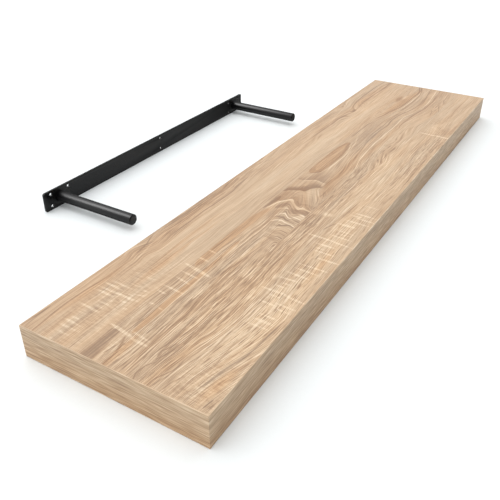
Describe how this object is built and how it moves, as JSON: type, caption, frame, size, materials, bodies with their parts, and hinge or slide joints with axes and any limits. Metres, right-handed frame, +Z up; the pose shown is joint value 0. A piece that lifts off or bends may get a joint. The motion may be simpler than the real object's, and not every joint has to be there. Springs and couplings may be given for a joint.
{
  "type": "floating wall shelf",
  "caption": "Thick rectangular floating shelf in light oak decor whose hollow-core board slides onto a slim black wall plate with round rods, so that no bracket shows.",
  "frame": {"origin": "centre of the bracket plate's wall face", "axes": "+Y into the wall, +X along the shelf, +Z up; the board stands drawn off the bracket on the -Y side"},
  "size_m": [1, 0.448, 0.042],
  "materials": {
    "powder_coat": "satin black powder coat on steel",
    "oak_decor": "fibreboard skin with matt light oak decor",
    "oak_edge": "matt light oak decor edge band",
    "chipboard": "raw sawn chipboard",
    "kraft_paper": "raw brown honeycomb paper"
  },
  "bodies": {
    "wall_bracket": {"wall_plate": "powder_coat", "rod_left": "powder_coat", "rod_right": "powder_coat", "weld_ring_left": "powder_coat", "weld_ring_right": "powder_coat"},
    "shelf_board": {"top_panel": "oak_decor", "bottom_panel": "oak_decor", "front_edge_band": "oak_edge", "left_edge_band": "oak_edge", "right_edge_band": "oak_edge", "front_rail": "chipboard", "back_rail": "chipboard", "end_rail_left": "chipboard", "end_rail_right": "chipboard", "bearer_left": "chipboard", "bearer_right": "chipboard", "honeycomb_left": "kraft_paper", "honeycomb_centre": "kraft_paper", "honeycomb_right": "kraft_paper"}
  },
  "joints": [
    {"name": "shelf_slide", "type": "slide", "parent": "wall_bracket", "child": "shelf_board", "axis": [0, 1, 0], "range_m": [0, 0.213]}
  ]
}
